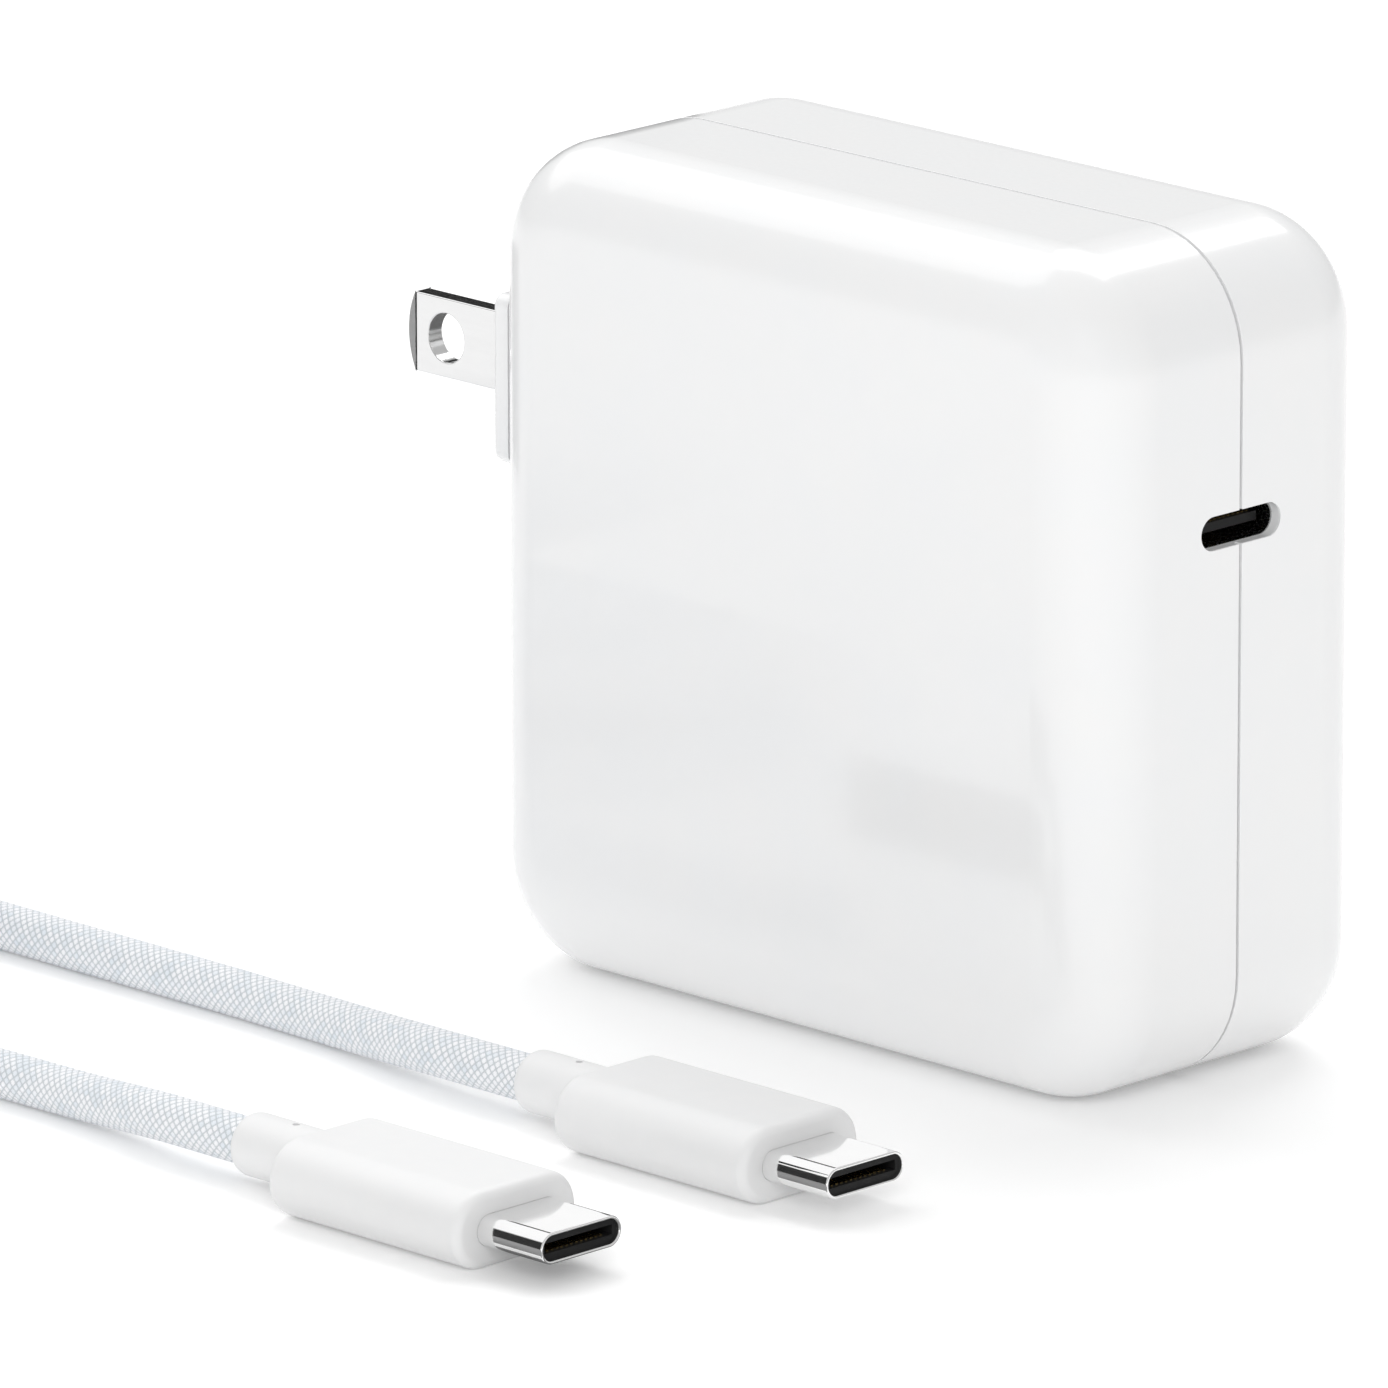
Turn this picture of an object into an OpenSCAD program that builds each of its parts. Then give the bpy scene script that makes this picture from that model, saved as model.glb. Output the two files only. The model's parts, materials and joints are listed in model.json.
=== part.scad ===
// Wall-plug power adapter for a laptop, with fold-down prongs, a USB-C outlet and its braided cable.
// The body stands on its narrow lower side. +X is the outlet side, -X the prong side, -Y the front,
// and the origin is on the surface below the middle of the body.

/* [Body] */
// Width of the body along X
body_w = 66; // [64:0.5:70]
// Height of the body along Z
body_h = 66; // [64:0.5:70]
// Thickness of the body along Y
body_t = 31.5; // [31:0.25:34]
// Corner radius of the square outline
corner_r = 9.2; // [8.6:0.2:10]
// Radius of the rounded front and rear edges
edge_r = 6.8; // [6.2:0.2:7]
// Thickness of the shell walls
wall = 2.2; // [2:0.1:2.4]
// Width of the joint line between the two shells
seam_w = 0.3; // [0.2:0.05:0.5]
// Depth of the joint line
seam_depth = 0.25; // [0.15:0.05:0.4]

/* [Prongs] */
// Width of a blade
blade_w = 6.35; // [6.2:0.05:6.5]
// Thickness of a blade
blade_t = 1.52; // [1.4:0.02:1.6]
// Distance between the middles of the two blades
blade_pitch = 12.7; // [12.5:0.1:12.9]
// Height of the prong hinge above the base
blade_z = 46.2; // [45.8:0.1:46.6]
// Reach of the blades beyond the plug plate
blade_reach = 15.05; // [14.5:0.05:15.5]
// Diameter of the hole near each blade's tip
blade_hole_d = 3.97; // [3.2:0.01:4.2]
// Distance from the hole's middle to the tip
blade_hole_back = 4.5; // [4.2:0.1:4.8]

/* [Plug plate] */
// Width of the raised plate around the prongs
plate_w = 25; // [24.6:0.1:25.2]
// Height of the raised plate
plate_h = 13.4; // [13:0.1:13.8]
// How far the plate stands out from the side wall
plate_proud = 1.25; // [1:0.05:1.5]

/* [Outlet] */
// Width of the opening
port_w = 8.65; // [8.5:0.05:8.9]
// Height of the opening
port_h = 2.65; // [2.6:0.05:3.1]
// Height of the outlet above the base
port_z = 44.2; // [44:0.1:44.6]
// How deep the socket's mouth sits below the surface
port_recess = 0.9; // [0.7:0.1:1.1]

/* [Cable] */
// Diameter of the braided cord
cord_d = 3.7; // [3.5:0.1:3.8]
// Width of a plug's grip
grip_w = 12.5; // [12:0.1:13]
// Thickness of a plug's grip
grip_t = 6; // [5.6:0.1:6.4]
// Length of a plug's grip
grip_l = 20.1; // [19:0.1:21]
// Diameter of the collar behind the grip
collar_d = 4.9; // [4.7:0.1:5.2]
// Length of the collar
collar_l = 8.25; // [7.5:0.05:9]
// Reach of the metal tongue beyond the grip
plug_reach = 6.65; // [6.4:0.05:7]

/* [Hidden] */

$fn = 48;
eps = 0.01;

// Body
side_x = body_w / 2;
face_y = body_t / 2;
mid_z = body_h / 2;
inner_x = side_x - wall;
inner_y = face_y - wall;

// Prongs and their hinge
plate_x = -side_x - plate_proud;
plate_z = 45.9;
hinge_x = -29.8;
barrel_r = 4;
barrel_half = 9.2;
barrel_gap = 0.15;
trunnion_r = 1.6;
trunnion_half = 11.7;
bearing_gap = 0.05;
cheek_half = 11.9;
blade_y = blade_pitch / 2;
tip_x = plate_x - blade_reach;
tip_bulge = 1.05;
tip_bevel = 0.3;
root_x = hinge_x + 1.5;
tail_x = hinge_x + 5.2;
tail_w = 1.8;
slot_w = 2;
slot_low = blade_z + tip_x - hinge_x - 0.6;
slot_floor = hinge_x + blade_w / 2 + 0.4;
chamber = [[hinge_x - 1.2, -9.4, 40.4], [-23.9, 9.4, 52]];
module_back = -22.4;
leaf = 0.3;
contact_x = tail_x + 0.3;
front_foot_z = 41.2;
rear_foot_z = 50.9;
lead_r = 0.8;
lead_x = -20.6;

// Boards
board_y = 10.6;
board_t = 1.6;
shelf_z = 41.4;
shelf_t = 1.2;

// Socket and plug sections, width and height
socket_outer = [8.94, 3.16];
socket_inner = [8.34, 2.56];
tongue_size = [6.69, 0.7];
plug_outer = [8.25, 2.4];
plug_inner = [7.75, 1.9];
plug_slot = [6.9, 0.8];
contact_count = 12;
contact_pitch = 0.5;
contact_w = 0.25;
contact_t = 0.07;

// Transformer, measured from its middle
trafo = [13, -2, 25];
core = [24, 18.4, 22];
core_window = [18.6, 11.4];
core_post_r = 4.4;

// Plugs lie flat on the surface: [end of the grip, middle of the plug]
plug_a = [8.05, -41.9];
plug_b = [4.65, -68];
plug_z = grip_t / 2;

// The cord lies on the surface. Its coil has four layers: the lowest has one turn more.
cord_r = cord_d / 2;
cord_sides = 8;
coil_centre = [-85.5, -67.9];
coil_inner_r = 17.8;
coil_layers = 4;
coil_low_turns = 4;
coil_high_turns = 3;
tie_w = 8;
tie_t = 0.9;

// Route of each run, from its plug to the coil
run_a = [
    [-0.2, -41.9, 3.0], [-5, -41.9, 3.0], [-10, -41.7, 2.9], [-16, -40.8, 2.5], [-22, -39.8, 2.1],
    [-28, -39.2, 1.9], [-35, -39.0, 1.9], [-42, -39.0, 1.9], [-49, -39.0, 1.9], [-56, -39.0, 1.9],
    [-63, -39.0, 1.9], [-70, -39.0, 1.9], [-78, -39.0, 1.9], [-85.5, -39.0, 1.9]
];
run_b = [
    [-3.6, -68.0, 3.0], [-8, -68.0, 3.0], [-13, -67.8, 2.9], [-19, -67.0, 2.4], [-25, -66.4, 2.0],
    [-31, -66.3, 1.9], [-36, -66.6, 1.9], [-41, -67.6, 1.9], [-46, -69.6, 2.2], [-51, -72.4, 3.3],
    [-56, -75.9, 5.4], [-61, -79.9, 8.2], [-66, -84.1, 11.2], [-72.9, -89.7, 12.9]
];

// ---------- shared shapes ----------

module box(low, high) {
    translate(low) cube(high - low);
}

module rounded_2d(w, h, r) {
    square([w - 2 * r, h], center = true);
    square([w, h - 2 * r], center = true);
    for (sx = [-1, 1], sy = [-1, 1])
        translate([sx * (w / 2 - r), sy * (h / 2 - r)]) circle(r);
}

module stadium_2d(size) {
    square([size[0] - size[1], size[1]], center = true);
    for (side = [-1, 1])
        translate([side * (size[0] - size[1]) / 2, 0]) circle(size[1] / 2);
}

// Extrudes an outline drawn in X and Z between two planes across Y
module slab_y(low, high) {
    translate([0, high, 0]) rotate([90, 0, 0]) linear_extrude(high - low) children();
}

// Extrudes an outline drawn in Y and Z between two planes across X
module slab_x(low, high) {
    translate([low, 0, 0]) rotate([90, 0, 90]) linear_extrude(high - low) children();
}

module rod_y(x, z, r, low, high) {
    translate([x, high, z]) rotate([90, 0, 0]) cylinder(r = r, h = high - low);
}

// ---------- body shells ----------

module body_outline(inset) {
    translate([0, mid_z]) rounded_2d(body_w - 2 * inset, body_h - 2 * inset, corner_r - inset);
}

// One corner of the rounded rear face: a disc with a rounded rim
module corner_disc(inset, facets) {
    flat_r = corner_r - edge_r;
    rim_r = edge_r - inset;
    rotate([-90, 0, 0]) rotate_extrude($fn = facets) {
        square([flat_r, rim_r]);
        translate([flat_r, 0]) intersection() {
            circle(rim_r);
            square(rim_r);
        }
    }
}

// The rear half of the body's form, drawn in by inset on every side
module rear_form(inset, facets) {
    rim_y = face_y - edge_r;
    slab_y(0, rim_y) body_outline(inset);
    hull()
        for (sx = [-1, 1], sz = [-1, 1])
            translate([sx * (side_x - corner_r), rim_y, mid_z + sz * (mid_z - corner_r)])
                corner_disc(inset, facets);
}

module shell_cuts() {
    // Joint line
    slab_y(-seam_w / 2, seam_w / 2) difference() {
        body_outline(-1);
        body_outline(seam_depth);
    }
    // Way through for the plug plate
    box([-side_x - 1, -plate_w / 2 - 0.1, plate_z - plate_h / 2 - 0.1],
        [-side_x + 5.4, plate_w / 2 + 0.1, plate_z + plate_h / 2 + 0.1]);
    // Slots that the folded blades lie in
    for (side = [-1, 1])
        box([-side_x - 1, side * blade_y - slot_w / 2, slot_low],
            [-inner_x + 1, side * blade_y + slot_w / 2, plate_z]);
    // Outlet: its mouth, and the wider seat of the socket behind it
    translate([0, 0, port_z]) {
        slab_x(side_x - port_recess, side_x + 1) stadium_2d([port_w, port_h]);
        slab_x(inner_x - 1, side_x - port_recess) stadium_2d([9.3, 3.6]);
    }
}

module half_shell() {
    difference() {
        rear_form(0, 48);
        translate([0, -eps, 0]) rear_form(wall, 24);
    }
}

module front_shell() color("white") {
    difference() {
        mirror([0, 1, 0]) half_shell();
        shell_cuts();
    }
    // Tongue that locates the rear shell
    difference() {
        union() {
            slab_y(-2, 0) difference() {
                body_outline(wall - 0.3);
                body_outline(wall + 1);
            }
            slab_y(-eps, 1.6) difference() {
                body_outline(wall + 0.1);
                body_outline(wall + 1);
            }
        }
        box([-side_x, -3, slot_low - 1.8], [-inner_x + 2, 3, 55]);
        box([inner_x - 2, -3, shelf_z - 0.6], [side_x, 3, port_z + 3]);
    }
}

module rear_shell() color("white") {
    difference() {
        half_shell();
        shell_cuts();
    }
    // Posts that hold the main board off the wall
    for (spot = [[-18, 10], [22, 10], [22, 56], [-14, 57]])
        rod_y(spot[0], spot[1], 2, board_y + board_t, inner_y + 0.3);
}

// ---------- plug module and folding prongs ----------

module plug_module() color("white") difference() {
    union() {
        // Plate with eased outer edges
        slab_x(plate_x, -29.6) translate([0, plate_z]) rounded_2d(plate_w, plate_h, 1);
        // Hinge housing behind it, and a trough for each folded blade
        box([-inner_x + 0.1, -8.8, 38.4], [module_back, 8.8, 54.2]);
        box([-29.6, -cheek_half, 38.4], [module_back, cheek_half, 54.2]);
        for (side = [-1, 1])
            box([-inner_x + 0.1, side * blade_y - 2.2, slot_low - 1.2],
                [slot_floor + 1.2, side * blade_y + 2.2, 38.6]);
    }
    box(chamber[0], chamber[1]);
    box([plate_x - 1, -9.4, blade_z - barrel_r - barrel_gap],
        [hinge_x + eps, 9.4, blade_z + barrel_r + barrel_gap]);
    for (side = [-1, 1])
        box([plate_x - 1, side * blade_y - slot_w / 2, slot_low],
            [slot_floor, side * blade_y + slot_w / 2, blade_z]);
    rod_y(hinge_x, blade_z, trunnion_r + bearing_gap, -13, 13);
    // Ways out for the feet of the two contact springs
    for (foot = [[-blade_y, front_foot_z], [blade_y, rear_foot_z]])
        box([-25, foot[0] - 1.6, foot[1] - 0.1], [-22, foot[0] + 1.6, foot[1] + leaf + 0.1]);
}

// Outline of a blade in X and Z: arc-ended tip, full width to the root, narrow tail
module blade_outline() {
    tip_r = (pow(blade_w / 2, 2) + pow(tip_bulge, 2)) / (2 * tip_bulge);
    intersection() {
        translate([tip_x, -blade_w / 2]) square([root_x - tip_x, blade_w]);
        translate([tip_x + tip_r, 0]) circle(tip_r, $fn = 96);
    }
    translate([tip_x + tip_r / 2, -blade_w / 2]) square([root_x - tip_x - tip_r / 2, blade_w]);
    translate([root_x - eps, -tail_w / 2]) square([tail_x - root_x + eps, tail_w]);
}

// Outline of a blade in X and Y: both faces are bevelled at the tip
module blade_edge_outline() {
    polygon([
        [tail_x, -blade_t / 2], [tail_x, blade_t / 2],
        [tip_x + tip_bulge, blade_t / 2], [tip_x - eps, blade_t / 2 - tip_bevel],
        [tip_x - eps, tip_bevel - blade_t / 2], [tip_x + tip_bulge, -blade_t / 2]
    ]);
}

module blade() {
    difference() {
        intersection() {
            translate([0, 0, blade_z]) slab_y(-blade_t, blade_t) blade_outline();
            translate([0, 0, blade_z - blade_w]) linear_extrude(2 * blade_w) blade_edge_outline();
        }
        rod_y(tip_x + blade_hole_back, blade_z, blade_hole_d / 2, -blade_t, blade_t);
    }
}

module front_blade() color("silver") translate([0, -blade_y, 0]) blade();
module rear_blade() color("silver") translate([0, blade_y, 0]) blade();

module prong_carrier() color("white") difference() {
    union() {
        rod_y(hinge_x, blade_z, barrel_r, -barrel_half, barrel_half);
        rod_y(hinge_x, blade_z, trunnion_r, -trunnion_half, trunnion_half);
    }
    for (side = [-1, 1]) {
        box([hinge_x - 5, side * blade_y - blade_t / 2, blade_z - blade_w / 2],
            [root_x, side * blade_y + blade_t / 2, blade_z + blade_w / 2]);
        box([hinge_x, side * blade_y - blade_t / 2, blade_z - tail_w / 2],
            [hinge_x + 5, side * blade_y + blade_t / 2, blade_z + tail_w / 2]);
    }
}

// A leaf that stands in the chamber, with a foot that runs out through the back wall
module contact_spring(y, foot_z) {
    box([contact_x, y - 1.5, 40.9], [contact_x + leaf, y + 1.5, 51.5]);
    box([contact_x, y - 1.5, foot_z], [lead_x - lead_r, y + 1.5, foot_z + leaf]);
}

module front_contact_spring() color("goldenrod") contact_spring(-blade_y, front_foot_z);
module rear_contact_spring() color("goldenrod") contact_spring(blade_y, rear_foot_z);

module detent_spring() color("lightgray") {
    leaf_x = hinge_x + barrel_r + 0.2;
    box([leaf_x, -3, 41.4], [leaf_x + leaf, 3, 51.6]);
    box([leaf_x, -3, 51.3], [chamber[1][0], 3, 51.6]);
}

module front_lead() color("black")
    rod_y(lead_x, front_foot_z + leaf / 2, lead_r, -blade_y - 1.6, board_y);
module rear_lead() color("white")
    rod_y(lead_x, rear_foot_z + leaf / 2, lead_r, blade_y - 1.6, board_y);

// ---------- boards ----------

module main_board() color("darkgreen")
    slab_y(board_y, board_y + board_t)
        polygon([
            [-29, 12], [-22, 4.6], [22, 4.6], [29.2, 12], [29.2, 54], [22, 61.4],
            [-15, 61.4], [-21.6, 55], [-21.6, 23.6], [-29, 23.6]
        ]);

module output_board() color("darkgreen")
    box([10, -11.5, shelf_z], [29.6, board_y, shelf_z + shelf_t]);

module insulating_sheet() color("ivory")
    slab_y(12.5, 12.7) difference() {
        translate([3, mid_z]) rounded_2d(47, 53, 5);
        for (spot = [[-18, 10], [22, 10], [22, 56], [-14, 57]])
            translate(spot) circle(2.6);
    }

// ---------- outlet socket ----------

// Two rows of contacts on both faces of a tongue or slot, half a height from its middle
module contact_rows(low, high, z_low, z_high) {
    for (row = [-1, 1], i = [0 : contact_count - 1]) {
        y = (i - (contact_count - 1) / 2) * contact_pitch;
        box([low, y - contact_w / 2, row > 0 ? z_low : -z_high],
            [high, y + contact_w / 2, row > 0 ? z_high : -z_low]);
    }
}

module socket_shell() color("silver") translate([0, 0, port_z])
    slab_x(24.2, side_x - port_recess) difference() {
        stadium_2d(socket_outer);
        stadium_2d(socket_inner);
    }

module socket_tongue() color("black") translate([0, 0, port_z]) {
    slab_x(24.3, 25.8) stadium_2d(socket_inner);
    slab_x(25.8 - eps, 31.4) square(tongue_size, center = true);
}

module socket_contacts() color("gold") translate([0, 0, port_z])
    contact_rows(26.2, 31, tongue_size[1] / 2, tongue_size[1] / 2 + contact_t);

// ---------- transformer ----------

// Half of the core: an end plate, two outer legs and a round centre post
module core_half() {
    leg_w = (core[0] - core_window[0]) / 2;
    plate_y = core_window[1] / 2;
    box([-core[0] / 2, plate_y, -core[2] / 2], [core[0] / 2, core[1] / 2, core[2] / 2]);
    for (side = [-1, 1])
        translate([side * (core[0] - leg_w) / 2, (plate_y + 0.05) / 2, 0])
            cube([leg_w, plate_y - 0.05 + 2 * eps, core[2]], center = true);
    rod_y(0, 0, core_post_r, 0.05, plate_y + eps);
}

module transformer_core_rear() color("dimgray") translate(trafo) core_half();
module transformer_core_front() color("dimgray") translate(trafo) mirror([0, 1, 0]) core_half();

module transformer_bobbin() color("darkslategray") translate(trafo) difference() {
    union() {
        rod_y(0, 0, 5.1, -5.5, 5.5);
        for (side = [-1, 1])
            rod_y(0, 0, 9.1, side * 5.2 - 0.3, side * 5.2 + 0.3);
        // Flange that reaches out of the core's open sides, and the two pin rails
        box([-6, 4.9, -13], [6, 5.5, 13]);
        for (side = [-1, 1])
            translate([0, (4.9 + board_y - trafo[1]) / 2, side * 12.1])
                cube([20, board_y - trafo[1] - 4.9, 1.8], center = true);
    }
    rod_y(0, 0, core_post_r + 0.1, -6, 6);
}

module transformer_winding() color("gold") translate(trafo) difference() {
    rod_y(0, 0, 8.8, -4.85, 4.85);
    rod_y(0, 0, 5.15, -5, 5);
}

module thermal_pad() color("lightblue")
    translate(trafo) box([-10, -10.9, -9], [10, -core[1] / 2, 9]);

// ---------- other parts on the boards ----------

// A round capacitor that stands on the main board, with a rolled groove near its foot
module capacitor(x, z, r, length) {
    foot_y = board_y;
    rod_y(x, z, r, foot_y - length, foot_y - 2.6);
    rod_y(x, z, r - 0.4, foot_y - 2.6 - eps, foot_y - 1.8 + eps);
    rod_y(x, z, r, foot_y - 1.8, foot_y);
}

module bulk_capacitor_left() color("darkblue") capacitor(-21.5, 13.4, 6, 20);
module bulk_capacitor_right() color("darkblue") capacitor(-8.6, 13.4, 6, 20);
module output_capacitor_left() color("slateblue") capacitor(12.5, 53.5, 4, 14);
module output_capacitor_right() color("slateblue") capacitor(23, 52.5, 4, 14);

module line_filter_capacitor() color("khaki") box([-18.4, -1, 40], [-12.4, board_y, 53]);

module safety_capacitor() color("royalblue")
    translate([4, 5.8, 46.5]) rotate([0, 90, 0]) cylinder(r = 4, h = 3.6);

// Common-mode choke: a ring core that lies flat, and two windings that cover a third of it each
choke = [-9.6, 5.5, 30];

module ring_2d(inner, outer) {
    difference() {
        circle(outer);
        circle(inner);
    }
}

module choke_core() color("darkolivegreen")
    translate(choke) slab_y(-3, 3) ring_2d(3.2, 6);

module choke_winding(turn) {
    translate(choke) rotate([0, turn, 0]) difference() {
        slab_y(-4, 4) intersection() {
            ring_2d(2.2, 7);
            polygon([[0, 0], [-8, 14], [8, 14]]);
        }
        slab_y(-3.05, 3.05) ring_2d(3.15, 6.05);
    }
}

module choke_winding_upper() color("orangered") choke_winding(0);
module choke_winding_lower() color("orangered") choke_winding(180);

module input_fuse() color("saddlebrown")
    slab_y(2.8, board_y) translate([-8.6, 58.2]) rounded_2d(8.4, 4, 1);

module bridge_rectifier() color("black") box([-10.4, 0, 41], [-7, board_y, 52]);

module heat_sink() color("silver") {
    box([-3.6, -9, 40], [-2, board_y - 0.2, 57]);
    box([-3.6, -9, 40], [1.6, -7.6, 57]);
}

module switch_transistor() color("black") box([-2, 1, 43.5], [1.2, 10.2, 53]);

module primary_controller() color("black") box([2.2, 9.1, 54], [7.2, board_y, 58]);

module output_controller() color("black")
    box([14, -3, shelf_z + shelf_t], [18.5, 1.5, shelf_z + shelf_t + 0.9]);

module sync_rectifier() color("black")
    box([13, -4, shelf_z - 1], [18.2, 2, shelf_z]);

module heat_spreader() color("darkorange")
    slab_y(-13.4, -12.9) translate([4, mid_z]) rounded_2d(45, 52, 4);

// ---------- cable ----------

// Rounded grip: the full section in the middle, drawn in towards both ends
module grip(plug) {
    ends = [[0, 0.75], [0.22, 0.22], [0.75, 0]];
    difference() {
        translate([0, plug[1], plug_z]) hull()
            for (e = ends)
                slab_x(plug[0] + e[0], plug[0] + grip_l - e[0])
                    stadium_2d([grip_w - 2 * e[1], grip_t - 2 * e[1]]);
        translate([0, plug[1], plug_z])
            slab_x(plug[0] + grip_l - 4, plug[0] + grip_l + 1)
                stadium_2d([plug_outer[0] + 0.04, plug_outer[1] + 0.04]);
    }
}

// Collar that the braid runs into, with a rounded end
module collar(plug) {
    r = collar_d / 2;
    ease = 0.9;
    translate([plug[0], plug[1], plug_z]) rotate([0, -90, 0]) rotate_extrude() {
        square([r, collar_l - ease]);
        square([r - ease, collar_l]);
        translate([r - ease, collar_l - ease]) intersection() {
            circle(ease);
            square(ease);
        }
    }
}

module plug_tube(plug) {
    translate([0, plug[1], plug_z])
        slab_x(plug[0] + grip_l - 4, plug[0] + grip_l + plug_reach) difference() {
            stadium_2d(plug_outer);
            stadium_2d(plug_inner);
        }
}

module plug_insert(plug) {
    root = plug[0] + grip_l - 3.9;
    mouth = plug[0] + grip_l + plug_reach - 0.35;
    translate([0, plug[1], plug_z]) difference() {
        slab_x(root, mouth) stadium_2d([plug_inner[0] - 0.02, plug_inner[1] - 0.02]);
        slab_x(root + 3.5, mouth + 1) square(plug_slot, center = true);
    }
}

module plug_contacts(plug) {
    mouth = plug[0] + grip_l + plug_reach;
    translate([0, plug[1], plug_z])
        contact_rows(mouth - 5.5, mouth - 0.8, plug_slot[1] / 2 - contact_t, plug_slot[1] / 2);
}

module plug_a_grip() color("white") grip(plug_a);
module plug_a_collar() color("white") collar(plug_a);
module plug_a_shell() color("silver") plug_tube(plug_a);
module plug_a_insert() color("black") plug_insert(plug_a);
module plug_a_contacts() color("gold") plug_contacts(plug_a);
module plug_b_grip() color("white") grip(plug_b);
module plug_b_collar() color("white") collar(plug_b);
module plug_b_shell() color("silver") plug_tube(plug_b);
module plug_b_insert() color("black") plug_insert(plug_b);
module plug_b_contacts() color("gold") plug_contacts(plug_b);

// Sweeps a round section along a route, one ring to each point
function unit(v) = v / norm(v);
function heading(route, i) =
    unit(route[min(i + 1, len(route) - 1)] - route[max(i - 1, 0)]);
function ring(centre, ahead) =
    let (across = unit(cross(ahead, [0, 0, 1])), over = cross(across, ahead))
    [for (k = [0 : cord_sides - 1])
        let (a = 360 * (k + 0.5) / cord_sides)
        centre + cord_r * (cos(a) * across + sin(a) * over)];

module cord_tube(route) {
    last = len(route) - 1;
    rings = [for (i = [0 : last]) each ring(route[i], heading(route, i))];
    skin = [
        for (i = [0 : last - 1], k = [0 : cord_sides - 1])
            let (a = i * cord_sides + k, b = i * cord_sides + (k + 1) % cord_sides)
            [a, b, b + cord_sides, a + cord_sides]
    ];
    near_end = [for (k = [cord_sides - 1 : -1 : 0]) k];
    far_end = [for (k = [0 : cord_sides - 1]) last * cord_sides + k];
    polyhedron(rings, concat(skin, [near_end, far_end]));
}

module cord_run_a() color("lightsteelblue") cord_tube(run_a);
module cord_run_b() color("lightsteelblue") cord_tube(run_b);

// Outer shape of the coil: a wide lowest layer under a narrower stack
module cord_coil() color("lightsteelblue") {
    low_r = coil_inner_r - cord_r;
    translate([coil_centre[0], coil_centre[1], 0]) rotate_extrude() translate([low_r, 0]) {
        translate([0, cord_r]) square([coil_high_turns * cord_d, (coil_layers - 1) * cord_d]);
        translate([cord_r, 0])
            square([(coil_low_turns - 1) * cord_d, cord_d]);
        translate([cord_r, cord_d])
            square([(coil_high_turns - 1) * cord_d, (coil_layers - 1) * cord_d]);
        translate([cord_r, cord_r]) circle(cord_r);
        translate([coil_low_turns * cord_d - cord_r, cord_r]) circle(cord_r);
        for (turn = [1, coil_high_turns])
            translate([(turn - 0.5) * cord_d, (coil_layers - 0.5) * cord_d]) circle(cord_r);
    }
}

// Strap around the coil on its far side. The coil lies on it there, a strap's thickness up.
module cord_tie() color("white") {
    low_x = coil_centre[0] - coil_inner_r - (coil_low_turns - 0.5) * cord_d - tie_t;
    high_x = coil_centre[0] - coil_inner_r + cord_r + tie_t;
    top_z = coil_layers * cord_d + 2 * tie_t;
    translate([0, coil_centre[1], 0]) difference() {
        box([low_x, -tie_w / 2, 0], [high_x, tie_w / 2, top_z]);
        box([low_x + tie_t, -tie_w, tie_t], [high_x - tie_t, tie_w, top_z - tie_t]);
    }
}

front_shell();
rear_shell();
plug_module();
prong_carrier();
front_blade();
rear_blade();
front_contact_spring();
rear_contact_spring();
detent_spring();
front_lead();
rear_lead();
main_board();
output_board();
socket_shell();
socket_tongue();
socket_contacts();
transformer_core_front();
transformer_core_rear();
transformer_bobbin();
transformer_winding();
bulk_capacitor_left();
bulk_capacitor_right();
output_capacitor_left();
output_capacitor_right();
line_filter_capacitor();
safety_capacitor();
choke_core();
choke_winding_lower();
choke_winding_upper();
input_fuse();
bridge_rectifier();
heat_sink();
switch_transistor();
primary_controller();
output_controller();
sync_rectifier();
heat_spreader();
thermal_pad();
insulating_sheet();
plug_a_grip();
plug_a_collar();
plug_a_shell();
plug_a_insert();
plug_a_contacts();
plug_b_grip();
plug_b_collar();
plug_b_shell();
plug_b_insert();
plug_b_contacts();
cord_run_a();
cord_run_b();
cord_coil();
cord_tie();
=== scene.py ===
"""Looks of a laptop power adapter and its braided cable, in metres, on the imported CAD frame."""

import json
from math import asin, atan2, ceil, cos, pi, radians, sin, tan, tau

import bmesh
import bpy
from mathutils import Matrix, Vector


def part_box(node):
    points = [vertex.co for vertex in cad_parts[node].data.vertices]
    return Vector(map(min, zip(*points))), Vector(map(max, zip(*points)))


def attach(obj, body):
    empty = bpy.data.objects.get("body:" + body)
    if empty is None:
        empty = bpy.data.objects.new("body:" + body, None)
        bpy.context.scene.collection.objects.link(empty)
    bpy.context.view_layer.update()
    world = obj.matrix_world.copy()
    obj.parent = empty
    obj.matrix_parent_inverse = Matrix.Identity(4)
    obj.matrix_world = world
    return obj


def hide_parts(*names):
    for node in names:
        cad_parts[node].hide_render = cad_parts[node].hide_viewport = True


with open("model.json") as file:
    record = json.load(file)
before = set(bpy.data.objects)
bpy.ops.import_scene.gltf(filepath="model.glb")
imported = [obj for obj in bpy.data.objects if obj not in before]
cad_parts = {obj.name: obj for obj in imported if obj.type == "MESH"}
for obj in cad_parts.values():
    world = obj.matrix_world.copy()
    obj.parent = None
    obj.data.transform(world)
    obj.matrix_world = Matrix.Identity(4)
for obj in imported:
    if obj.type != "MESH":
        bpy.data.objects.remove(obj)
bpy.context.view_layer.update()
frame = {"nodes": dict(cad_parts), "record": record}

MM = 0.001

# Camera, as the photograph was taken: a long lens, a little above the body
CAMERA_AZIMUTH = radians(44.905)
CAMERA_ELEVATION = radians(15.376)
CAMERA_ROLL = radians(-0.062)
CAMERA_DISTANCE = 1.28882
CAMERA_LENS = 438.17
SENSOR_WIDTH = 36
# The camera is moved this far across and up from the line to the body's middle
CAMERA_ACROSS = -17.546 * MM
CAMERA_UP = -7.843 * MM

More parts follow.
